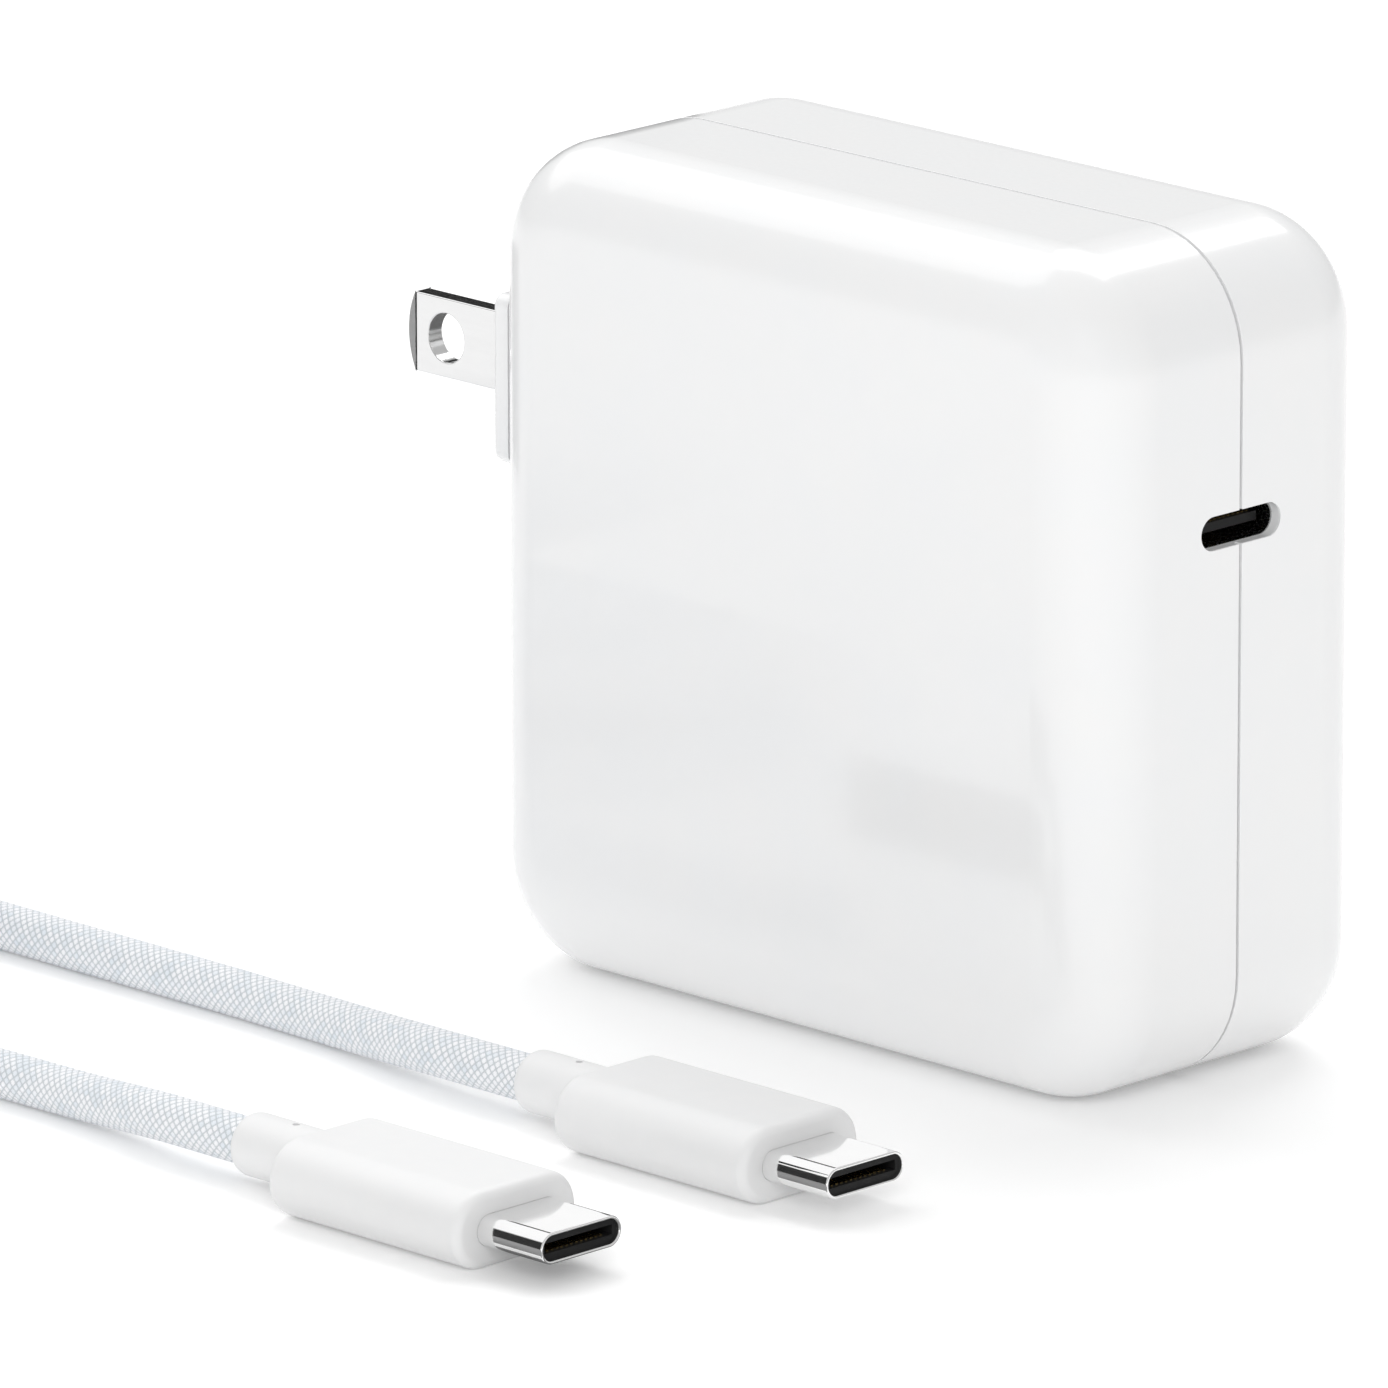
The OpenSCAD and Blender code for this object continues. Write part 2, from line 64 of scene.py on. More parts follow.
# Body, from the outside in
BODY_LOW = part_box("front_shell")[0]
BODY_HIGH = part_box("rear_shell")[1]
BODY_SIZE = BODY_HIGH - BODY_LOW
MID_Z = BODY_SIZE[2] / 2
SIDE_X = BODY_HIGH[0]
FACE_Y = BODY_HIGH[1]
CORNER_R = 9.2 * MM
EDGE_R = 6.8 * MM
WALL = 2.2 * MM
INNER_X = SIDE_X - WALL
SEAM_W = 0.3 * MM
SEAM_DEPTH = 0.6 * MM
SEAM_EASE = 0.03 * MM
FILLET_STEPS = 24

# Outlet
PORT_SIZE = (8.65 * MM, 2.65 * MM)
PORT_RECESS = 0.9 * MM
PORT_EASE = 0.12 * MM
PORT_Z = (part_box("socket_shell")[0][2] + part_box("socket_shell")[1][2]) / 2
SEAT_SIZE = (9.3 * MM, 3.6 * MM)

# Prongs and plug plate
HINGE = (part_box("prong_carrier")[0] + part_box("prong_carrier")[1]) / 2
BARREL_R = HINGE[0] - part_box("prong_carrier")[0][0]
BLADE_Y = (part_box("rear_blade")[0][1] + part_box("rear_blade")[1][1]) / 2
BLADE_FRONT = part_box("front_blade")[0][1]
TIP_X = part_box("front_blade")[0][0]
TIP_BULGE = 1.05 * MM
TIP_BEVEL = 0.3 * MM
ROOT_X = HINGE[0] + 1.5 * MM
TAIL_W = 1.8 * MM
HOLE_R = 1.985 * MM
HOLE_X = TIP_X + 4.5 * MM
BLADE_EASE = 0.09 * MM
PLATE_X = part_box("plug_module")[0][0]
PLATE_BACK = -29.6 * MM
PLATE_SIZE = (25 * MM, 13.4 * MM)
PLATE_Z = 45.9 * MM
PLATE_CORNER = 1 * MM
PLATE_EASE = 0.6 * MM
# A shadow gap runs round the plate where it leaves the body, between these two places
GROOVE_X = (-31.7 * MM, -32.5 * MM)
GROOVE_DEPTH = 0.6 * MM
SLOT_W = 2 * MM
TROUGH_WALL = 1.2 * MM
SLOT_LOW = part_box("plug_module")[0][2] + TROUGH_WALL
SLOT_FLOOR = HINGE[0] + 3.575 * MM
POCKET_GAP = 0.1 * MM
POCKET_DEPTH = 5.4 * MM
HOUSING_LOW = 38.4 * MM
HOUSING_HALF = 8.8 * MM
CHEEK_HALF = 11.9 * MM
# Room for the carrier: its half width, its height range, its front and back, and the barrel's gap
WINDOW_HALF = 9.4 * MM
WINDOW_Z = (40.4 * MM, 52 * MM)
WINDOW_X = (HINGE[0] - 1.2 * MM, -23.9 * MM)
BARREL_GAP = 0.15 * MM
# Half the outer width of each trough, and its top
TROUGH_HALF = 2.2 * MM
TROUGH_TOP = 38.6 * MM
# How far one solid reaches into the next before they are joined
JOIN = 0.1 * MM

# Plugs: rounding of the ends, and the metal's thickness
GRIP_EASE = 0.75 * MM
COLLAR_EASE = 0.9 * MM
COLLAR_DOT_R = 0.28 * MM
COLLAR_DOT_DEPTH = 0.6 * MM
COLLAR_DOT_BACK = 3.2 * MM
TONGUE_WALL = 0.25 * MM
TONGUE_SEAT = 4 * MM
TONGUE_GAP = 0.01 * MM
TONGUE_STEPS = 40

# Cord
CORD_D = 3.7 * MM
CORD_SIDES = 64
RUN_STEP = 0.25 * MM
COIL_STEP = 2.4 * MM
CELLS_AROUND = 16
CELL_LENGTH = 0.72 * MM
WEAVE_RELIEF = 0.05 * MM
WEAVE_BUMP = 0.08 * MM
PALE_STRAND = (0.93, 0.935, 0.965)
BLUE_STRAND = (0.79, 0.835, 0.89)
# Painted shade: the dark grey that the braid's colour takes in the gaps between strands and fibres
PAINTED_GAP_SHADE = (0.47, 0.52, 0.55)
# Layers of the coil from the floor up, each a list of turns counted from the innermost ring
COIL_LAYERS = [[3, 2, 1, 0], [0, 1, 2], [2, 1, 0], [0, 1, 2]]
# Part of a turn that a step to the next ring or layer takes
COIL_SHIFT = 50 / 360
STRAP_T = 0.9 * MM
STRAP_W = 8 * MM

# Route of each run from its plug to the coil, in millimetres, as in the CAD source
RUN_A = [
    (-0.2, -41.9, 3.0), (-5, -41.9, 3.0), (-10, -41.7, 2.9), (-16, -40.8, 2.5), (-22, -39.8, 2.1),
    (-28, -39.2, 1.9), (-35, -39.0, 1.9), (-42, -39.0, 1.9), (-49, -39.0, 1.9), (-56, -39.0, 1.9),
    (-63, -39.0, 1.9), (-70, -39.0, 1.9), (-78, -39.0, 1.9), (-85.5, -39.0, 1.9),
]
RUN_B = [
    (-3.6, -68.0, 3.0), (-8, -68.0, 3.0), (-13, -67.8, 2.9), (-19, -67.0, 2.4), (-25, -66.4, 2.0),
    (-31, -66.3, 1.9), (-36, -66.6, 1.9), (-41, -67.6, 1.9), (-46, -69.6, 2.2), (-51, -72.4, 3.3),
    (-56, -75.9, 5.4), (-61, -79.9, 8.2), (-66, -84.1, 11.2), (-72.9, -89.7, 12.9),
]

SHARP = radians(32)

# The floor is a lit table, which keeps the shadows on it soft
FLOOR_GLOW = 0.13


# ---------- outlines ----------

def arc(start, end, steps):
    """Angles from start to end, both included."""
    return [start + (end - start) * i / steps for i in range(steps + 1)]


def rounded_rectangle(width, height, r, steps=12):
    outline = []
    for quarter, (sx, sy) in enumerate([(1, 1), (-1, 1), (-1, -1), (1, -1)]):
        for a in arc(quarter * pi / 2, (quarter + 1) * pi / 2, steps):
            outline.append((sx * (width / 2 - r) + r * cos(a), sy * (height / 2 - r) + r * sin(a)))
    return outline


def stadium(width, height, steps=24):
    r = height / 2
    outline = []
    for side in (1, -1):
        for a in arc(-side * pi / 2, side * pi / 2, steps):
            outline.append((side * (width / 2 - r + r * cos(a)), r * sin(a)))
    return outline


def loop_x(x, outline, y=0, z=0):
    """An outline drawn in Y and Z, set across X."""
    return [Vector((x, y + a, z + b)) for a, b in outline]


def loop_y(y, outline, x=0, z=0):
    """An outline drawn in X and Z, set across Y."""
    return [Vector((x + a, y, z + b)) for a, b in outline]


# ---------- pieces ----------

def add_piece(name, mesh):
    piece = bpy.data.objects.new(name, mesh)
    bpy.context.scene.collection.objects.link(piece)
    return piece


def loft(name, loops, ring=False):
    """A closed solid through loops of equal count: capped at both ends, or joined into a ring."""
    form = bmesh.new()
    rows = [[form.verts.new(point) for point in loop] for loop in loops]
    pairs = list(zip(rows, rows[1:] + rows[:1]))
    for low, high in pairs if ring else pairs[:-1]:
        for k in range(len(low)):
            form.faces.new((low[k - 1], low[k], high[k], high[k - 1]))
    if not ring:
        form.faces.new(rows[0])
        form.faces.new(rows[-1])
    bmesh.ops.remove_doubles(form, verts=form.verts, dist=1e-8)
    bmesh.ops.recalc_face_normals(form, faces=form.faces)
    mesh = bpy.data.meshes.new(name)
    form.to_mesh(mesh)
    form.free()
    return add_piece(name, mesh)


def block(low, high):
    """A box-shaped tool for cut and join, between two corners."""
    outline = [(low[1], low[2]), (high[1], low[2]), (high[1], high[2]), (low[1], high[2])]
    return loft("tool", [loop_x(low[0], outline), loop_x(high[0], outline)])


def rod(x, y_low, y_high, z, r, steps=48):
    outline = [(r * cos(a), r * sin(a)) for a in arc(0, tau, steps)[:-1]]
    return loft("tool", [loop_y(y_low, outline, x, z), loop_y(y_high, outline, x, z)])


def combine(piece, tools, operation):
    """Cuts the tools from a piece, or joins them to it, and removes them."""
    for tool in tools:
        modifier = piece.modifiers.new("combine", "BOOLEAN")
        modifier.operation = operation
        modifier.solver = "EXACT"
        modifier.object = tool
    graph = bpy.context.evaluated_depsgraph_get()
    mesh = bpy.data.meshes.new_from_object(piece.evaluated_get(graph))
    piece.modifiers.clear()
    piece.data = mesh
    for tool in tools:
        bpy.data.objects.remove(tool)


def smooth(piece, ease=0):
    """Smooth shading that keeps flat faces flat, after rounding the sharp edges by ease."""
    piece.data.shade_smooth()
    piece.data.set_sharp_from_angle(angle=SHARP)
    if ease:
        bevel = piece.modifiers.new("ease", "BEVEL")
        bevel.width = ease
        bevel.segments = 3
        bevel.limit_method = "ANGLE"
        bevel.angle_limit = SHARP
        bevel.harden_normals = True
    normals = piece.modifiers.new("normals", "WEIGHTED_NORMAL")
    normals.keep_sharp = not ease


def place(piece, body, slot, *nodes):
    """The piece rides on a body, takes a slot's finish, and stands for these CAD nodes."""
    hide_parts(*nodes)
    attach(piece, body)
    piece.data.materials.clear()
    piece.data.materials.append(MATERIALS[slot])
    return piece


# ---------- body ----------

def body_loop(inset, y):
    width, height = BODY_SIZE[0] - 2 * inset, BODY_SIZE[2] - 2 * inset
    return loop_y(y, rounded_rectangle(width, height, CORNER_R - inset), z=MID_Z)


def port_tool():
    """The outlet's mouth with an eased edge, and the seat of the socket behind it."""
    width, height = PORT_SIZE
    sections = [(SIDE_X - PORT_RECESS, 0), (SIDE_X - PORT_EASE, 0)]
    sections += [
        (SIDE_X - PORT_EASE * cos(a), PORT_EASE * (1 - cos(pi / 2 - a)))
        for a in arc(0, pi / 2, 4)[1:]
    ]
    sections.append((SIDE_X + MM, PORT_EASE))
    return loft("tool", [
        loop_x(x, stadium(width + 2 * out, height + 2 * out), z=PORT_Z) for x, out in sections
    ])


def seat_tool():
    outline = stadium(*SEAT_SIZE)
    ends = (INNER_X - MM, SIDE_X - PORT_RECESS)
    return loft("tool", [loop_x(x, outline, z=PORT_Z) for x in ends])


def shell_tools():
    """Cuts for the plug plate's pocket, the blades' troughs and the outlet."""
    half_w, half_h = (size / 2 + POCKET_GAP for size in PLATE_SIZE)
    tools = [block(
        (-SIDE_X - MM, -half_w, PLATE_Z - half_h),
        (-SIDE_X + POCKET_DEPTH, half_w, PLATE_Z + half_h),
    )]
    for y in (-BLADE_Y, BLADE_Y):
        tools.append(block(
            (-SIDE_X - MM, y - SLOT_W / 2, SLOT_LOW), (-INNER_X + MM, y + SLOT_W / 2, PLATE_Z)
        ))
    return tools + [seat_tool(), port_tool()]


def half_shell(name, side):
    """The front half on side -1, or the rear half on side 1, up to the joint line."""
    turns = arc(0, pi / 2, FILLET_STEPS)
    rim_y = FACE_Y - EDGE_R
    inner_r = EDGE_R - WALL
    profile = [(EDGE_R - inner_r * cos(a), rim_y + inner_r * sin(a)) for a in reversed(turns)]
    profile += [(WALL, 0), (SEAM_DEPTH, 0), (SEAM_DEPTH, SEAM_W / 2)]
    profile += [(SEAM_EASE, SEAM_W / 2), (0, SEAM_W / 2 + SEAM_EASE)]
    profile += [(EDGE_R * (1 - cos(a)), rim_y + EDGE_R * sin(a)) for a in turns]
    shell = loft(name + "_skin", [body_loop(inset, side * y) for inset, y in profile])
    combine(shell, shell_tools(), "DIFFERENCE")
    smooth(shell)
    place(shell, "adapter", "white_gloss", name)


# ---------- plug plate and prongs ----------

def plug_plate():
    """The raised plate with eased edges, the hinge housing and a trough for each blade."""
    width, height = PLATE_SIZE
    sections = [(PLATE_BACK, 0), (GROOVE_X[0], 0), (GROOVE_X[0], GROOVE_DEPTH)]
    sections += [(GROOVE_X[1], GROOVE_DEPTH), (GROOVE_X[1], 0)]
    sections += [
        (PLATE_X + PLATE_EASE * (1 - sin(a)), PLATE_EASE * (1 - cos(a)))
        for a in arc(0, pi / 2, 8)
    ]
    plate = loft("plug_plate", [
        loop_x(x, rounded_rectangle(width - 2 * i, height - 2 * i, PLATE_CORNER - i, 8), z=PLATE_Z)
        for x, i in sections
    ])
    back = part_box("plug_module")[1]
    front_x = -INNER_X + JOIN
    parts = [
        block((front_x, -HOUSING_HALF, HOUSING_LOW), (back[0], HOUSING_HALF, back[2])),
        block((PLATE_BACK - JOIN, -CHEEK_HALF, HOUSING_LOW), (back[0], CHEEK_HALF, back[2])),
    ]
    cuts = [
        block((WINDOW_X[0], -WINDOW_HALF, WINDOW_Z[0]), (WINDOW_X[1], WINDOW_HALF, WINDOW_Z[1])),
        block(
            (PLATE_X - MM, -WINDOW_HALF, HINGE[2] - BARREL_R - BARREL_GAP),
            (HINGE[0], WINDOW_HALF, HINGE[2] + BARREL_R + BARREL_GAP),
        ),
    ]
    for y in (-BLADE_Y, BLADE_Y):
        parts.append(block(
            (front_x, y - TROUGH_HALF, SLOT_LOW - TROUGH_WALL),
            (SLOT_FLOOR + TROUGH_WALL, y + TROUGH_HALF, TROUGH_TOP),
        ))
        cuts.append(block(
            (PLATE_X - MM, y - SLOT_W / 2, SLOT_LOW), (SLOT_FLOOR, y + SLOT_W / 2, HINGE[2])
        ))
    combine(plate, parts, "UNION")
    combine(plate, cuts, "DIFFERENCE")
    smooth(plate)
    place(plate, "adapter", "white_gloss", "plug_module")


def tip_wedge(low, high, side):
    """Cuts the bevel on one face of a blade's tip."""
    face_y = high[1] if side > 0 else low[1]
    start = Vector((TIP_X + TIP_BULGE, face_y, 0))
    along = Vector((-TIP_BULGE, -side * TIP_BEVEL, 0)).normalized() * MM
    out = Vector((-side * along[1], side * along[0], 0)) * -1
    corners = [start - along, start + 2 * along, start + 2 * along + out, start - along + out]
    return loft("tool", [
        [Vector((c[0], c[1], z)) for c in corners] for z in (low[2] - MM, high[2] + MM)
    ])


def blade(node):
    """Flat blade with an arc tip bevelled on both faces, a round hole and a narrow tail."""
    low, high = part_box(node)
    half_w = (high[2] - low[2]) / 2
    tip_r = (half_w**2 + TIP_BULGE**2) / (2 * TIP_BULGE)
    reach = asin(half_w / tip_r)
    outline = [(TIP_X + tip_r * (1 - cos(a)), tip_r * sin(a)) for a in arc(-reach, reach, 24)]
    outline += [(ROOT_X, half_w), (ROOT_X, TAIL_W / 2), (high[0], TAIL_W / 2)]
    outline += [(high[0], -TAIL_W / 2), (ROOT_X, -TAIL_W / 2), (ROOT_X, -half_w)]
    prong = loft(node + "_polished", [loop_y(y, outline, z=HINGE[2]) for y in (low[1], high[1])])
    tools = [tip_wedge(low, high, side) for side in (-1, 1)]
    tools.append(rod(HOLE_X, low[1] - MM, high[1] + MM, HINGE[2], HOLE_R))
    combine(prong, tools, "DIFFERENCE")
    smooth(prong, BLADE_EASE)
    place(prong, "prongs", "blade_metal", node)


# ---------- plugs ----------

def grip(plug):
    """Rounded grip with a seat for the metal tongue in its front end."""
    low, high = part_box(plug + "_grip")
    tongue_low, tongue_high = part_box(plug + "_shell")
    width, height = high[1] - low[1], high[2] - low[2]
    seat = [size + 2 * TONGUE_GAP for size in (tongue_high - tongue_low)[1:]]
    sections = [(high[0] - TONGUE_SEAT, *seat), (high[0], *seat)]
    for a in arc(pi / 2, 0, 10):
        inset = GRIP_EASE * (1 - cos(a))
        sections.append((high[0] - GRIP_EASE * (1 - sin(a)), width - 2 * inset, height - 2 * inset))
    for a in arc(0, pi / 2, 10):
        inset = GRIP_EASE * (1 - cos(a))
        sections.append((low[0] + GRIP_EASE * (1 - sin(a)), width - 2 * inset, height - 2 * inset))
    middle = (low + high) / 2
    piece = loft(plug + "_grip_skin", [
        loop_x(x, stadium(w, h), middle[1], middle[2]) for x, w, h in sections
    ])
    smooth(piece)
    return place(piece, "adapter", "white_satin", plug + "_grip")


def collar(plug):
    """Round collar with a rounded end and a small moulding mark on top."""
    low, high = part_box(plug + "_collar")
    middle = (low + high) / 2
    r = (high[1] - low[1]) / 2
    sections = [(high[0], r)] + [
        (low[0] + COLLAR_EASE * (1 - sin(a)), r - COLLAR_EASE * (1 - cos(a)))
        for a in arc(0, pi / 2, 10)
    ]
    piece = loft(plug + "_collar_skin", [
        loop_x(x, [(size * cos(a), size * sin(a)) for a in arc(0, tau, 64)[:-1]], *middle[1:])
        for x, size in sections
    ])
    outline = [(COLLAR_DOT_R * cos(a), COLLAR_DOT_R * sin(a)) for a in arc(0, tau, 16)[:-1]]
    dot = loft("tool", [
        [Vector((high[0] - COLLAR_DOT_BACK + a, middle[1] + b, z)) for a, b in outline]
        for z in (high[2] - COLLAR_DOT_DEPTH, high[2] + MM)
    ])
    combine(piece, [dot], "DIFFERENCE")
    smooth(piece)
    return place(piece, "adapter", "white_satin", plug + "_collar")


def tongue(plug):
    """Metal tongue: a flattened tube with a rounded lip."""
    low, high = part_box(plug + "_shell")
    width, height = high[1] - low[1], high[2] - low[2]
    lip_r = TONGUE_WALL / 2
    sections = [(low[0], 0)]
    sections += [(high[0] - lip_r * (1 - sin(a)), lip_r * (1 - cos(a))) for a in arc(0, pi, 10)]
    sections.append((low[0], TONGUE_WALL))
    middle = (low + high) / 2
    piece = loft(plug + "_tongue", [
        loop_x(x, stadium(width - 2 * i, height - 2 * i, TONGUE_STEPS), middle[1], middle[2])
        for x, i in sections
    ], ring=True)
    smooth(piece)
    return place(piece, "adapter", "plug_metal", plug + "_shell")


# ---------- cord ----------

def spline(points, step):
    """Points every step along a smooth curve through the given ones."""
    knots = [Vector(p) * MM for p in points]
    ends = [2 * knots[0] - knots[1]] + knots + [2 * knots[-1] - knots[-2]]
    line = []
    for before, a, b, after in zip(ends, ends[1:], ends[2:], ends[3:]):
        count = ceil((b - a).length / step)
        for i in range(count):
            t = i / count
            line.append(a + t / 2 * (
                (b - before)
                + t * (2 * before - 5 * a + 4 * b - after)
                + t * t * (3 * a - before - 3 * b + after)
            ))
    return line + [knots[-1]]


def ease_in_out(t):
    t = min(max(t, 0), 1)
    return t * t * (3 - 2 * t)


def coil_measures():
    """The coil's middle, and the radius of its innermost turn."""
    low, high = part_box("cord_coil")
    inner = (high[0] - low[0]) / 2 - CORD_D * (COIL_LAYERS[0][0] + 0.5)
    return (low + high) / 2, inner


def coil_line(start, end):
    """Turns of the coil, from the point where run A meets it to the point where run B leaves it."""
    centre, inner = coil_measures()
    turns = [(ring, layer) for layer, rings in enumerate(COIL_LAYERS) for ring in rings]
    first = atan2(start[1] - centre[1], start[0] - centre[0])
    last = atan2(end[1] - centre[1], end[0] - centre[0])
    whole = len(turns) - 1 + ((last - first) % tau) / tau
    count = ceil(whole * tau * (inner + 1.5 * CORD_D) / COIL_STEP)
    line = []
    for i in range(count + 1):
        turn, part = divmod(whole * i / count, 1)
        ring, layer = turns[int(turn)]
        if int(turn) + 1 < len(turns):
            next_ring, next_layer = turns[int(turn) + 1]
            ring += (next_ring - ring) * ease_in_out((part - 1) / COIL_SHIFT + 1)
            layer += (next_layer - layer) * ease_in_out((part - 1) / COIL_SHIFT + 2)
        angle = first + tau * part
        r = inner + ring * CORD_D
        # The turns lie on the strap at the far side
        lift = STRAP_T * ease_in_out(1.6 - abs((angle % tau) - pi) / 0.5)
        line.append(centre + Vector((r * cos(angle), r * sin(angle), 0)))
        line[-1][2] = (layer + 0.5) * CORD_D + lift
    return line


def weave_height(turn, length):
    """Height of the braid, from 0 between strands to 1 on them."""
    a = turn * CELLS_AROUND + length / CELL_LENGTH
    b = turn * CELLS_AROUND - length / CELL_LENGTH
    return abs(sin(pi * a) * sin(pi * b)) ** 0.5


def braid_tube(name, line, woven):
    """A closed tube along a line, with relief up to the woven lengths, and UVs: turns, and metres."""
    form = bmesh.new()
    uv = form.loops.layers.uv.new("braid")
    rows = []
    lengths = []
    ahead = (line[1] - line[0]).normalized()
    across = ahead.cross(Vector((0, 0, 1))).normalized()
    length = 0
    total = sum((b - a).length for a, b in zip(line, line[1:]))
    for i, point in enumerate(line):
        before = line[max(i - 1, 0)]
        after = line[min(i + 1, len(line) - 1)]
        ahead = (after - before).normalized()
        across = (across - ahead * across.dot(ahead)).normalized()
        over = ahead.cross(across)
        length += (point - before).length
        relief = WEAVE_RELIEF if length < woven[0] or length > total - woven[1] else 0
        row = []
        for k in range(CORD_SIDES):
            turn = k / CORD_SIDES
            r = CORD_D / 2 - relief * (1 - weave_height(turn, length))
            direction = cos(tau * turn) * across + sin(tau * turn) * over
            row.append(form.verts.new(point + r * direction))
        rows.append(row)
        lengths.append(length)
    for i, (low, high) in enumerate(zip(rows, rows[1:])):
        for k in range(CORD_SIDES):
            following = (k + 1) % CORD_SIDES
            face = form.faces.new((low[k], low[following], high[following], high[k]))
            corners = [(k, i), (k + 1, i), (k + 1, i + 1), (k, i + 1)]
            for corner, (around, along) in zip(face.loops, corners):
                corner[uv].uv = (around / CORD_SIDES, lengths[along])
    form.faces.new(reversed(rows[0]))
    form.faces.new(rows[-1])
    mesh = bpy.data.meshes.new(name)
    form.to_mesh(mesh)
    form.free()
    mesh.shade_smooth()
    return add_piece(name, mesh)


def cord():
    """The whole cable as one tube: run A, the coil, then run B back to its plug."""
    run_a = spline(RUN_A, RUN_STEP)
    run_b = spline(RUN_B, RUN_STEP)
    coil = coil_line(run_a[-1], run_b[-1])
    line = run_a[:-4] + coil[1:-1] + run_b[-5::-1]
    woven = [sum((b - a).length for a, b in zip(run, run[1:])) for run in (run_a, run_b)]
    piece = braid_tube("cord_braid", line, woven)
    place(piece, "adapter", "braid", "cord_run_a", "cord_run_b", "cord_coil")


def strap():
    """Strap round the coil's turns on its far side."""
    centre, inner = coil_measures()
    top = len(COIL_LAYERS) - 1
    corners = [
        Vector((centre[0] - inner - ring * CORD_D, STRAP_T + (layer + 0.5) * CORD_D))
        for ring, layer in [(COIL_LAYERS[0][0], 0), (0, 0), (0, top), (COIL_LAYERS[top][-1], top)]
    ]
    r = (CORD_D + STRAP_T) / 2
    loops = []
    section = rounded_rectangle(STRAP_W, STRAP_T, STRAP_T * 0.35, 4)
    for before, corner, after in zip(corners[-1:] + corners, corners, corners[1:] + corners[:1]):
        start = atan2(*(corner - before)) * -1
        end = atan2(*(after - corner)) * -1
        for a in arc(start, start + (end - start) % tau, 12):
            out = Vector((cos(a), 0, sin(a)))
            middle = Vector((corner[0], centre[1], corner[1])) + r * out
            loops.append([middle + Vector((0, along, 0)) + out * height for along, height in section])
    piece = loft("cord_strap", loops, ring=True)
    smooth(piece)
    return place(piece, "adapter", "strap", "cord_tie")


# ---------- materials ----------

class Graph:
    """Short calls that add nodes to one material and link them."""

    def __init__(self, name, colour, roughness, metallic=0, **sockets):
        self.material = bpy.data.materials.new(name)
        self.material.use_nodes = True
        self.tree = self.material.node_tree
        self.shader = self.tree.nodes["Principled BSDF"]
        self.set(self.shader, {
            "Base Color": (*colour, 1), "Roughness": roughness, "Metallic": metallic,
            **{socket.replace("_", " "): value for socket, value in sockets.items()},
        })

    def set(self, node, inputs):
        for socket, value in inputs.items():
            if isinstance(value, bpy.types.NodeSocket):
                self.tree.links.new(value, node.inputs[socket])
            else:
                node.inputs[socket].default_value = value

    def node(self, kind, inputs, **settings):
        node = self.tree.nodes.new("ShaderNode" + kind)
        for setting, value in settings.items():
            setattr(node, setting, value)
        self.set(node, inputs)
        return node

    def math(self, operation, *values):
        return self.node("Math", dict(enumerate(values)), operation=operation).outputs[0]

    def noise(self, size, stretch=(1, 1, 1)):
        """Noise in object space, with features of about this size in metres."""
        where = self.node("TexCoord", {}).outputs["Object"]
        scaled = self.node("Mapping", {"Vector": where, "Scale": stretch}).outputs["Vector"]
        inputs = {"Vector": scaled, "Scale": 1 / size, "Detail": 3}
        return self.node("TexNoise", inputs).outputs["Fac"]

    def ramp(self, value, low, high):
        """Takes a value from 0 to 1 to the range from low to high."""
        inputs = {"Value": value, "From Min": 0.3, "From Max": 0.7, "To Min": low, "To Max": high}
        return self.node("MapRange", inputs).outputs["Result"]

    def mix(self, value, colour, second):
        inputs = {"Factor": value, 6: (*colour, 1), 7: (*second, 1)}
        return self.node("Mix", inputs, data_type="RGBA").outputs[2]

    def bump(self, height, distance):
        normal = self.node("Bump", {"Height": height, "Distance": distance}).outputs["Normal"]
        self.set(self.shader, {"Normal": normal})


def grained(
    name, colour, second, roughness, metallic=0, size=0.4, stretch=(1, 1, 1), depth=0.004, **sockets
):
    """A finish that varies between two colours and two roughnesses over grain of a size in mm."""
    graph = Graph(name, colour, roughness[0], metallic, **sockets)
    fine = graph.noise(size * MM, stretch)
    broad = graph.noise(12 * size * MM, stretch)
    graph.set(graph.shader, {
        "Base Color": graph.mix(graph.ramp(broad, 0, 1), colour, second),
        "Roughness": graph.ramp(fine, *roughness),
    })
    graph.bump(fine, depth * MM)
    return graph.material


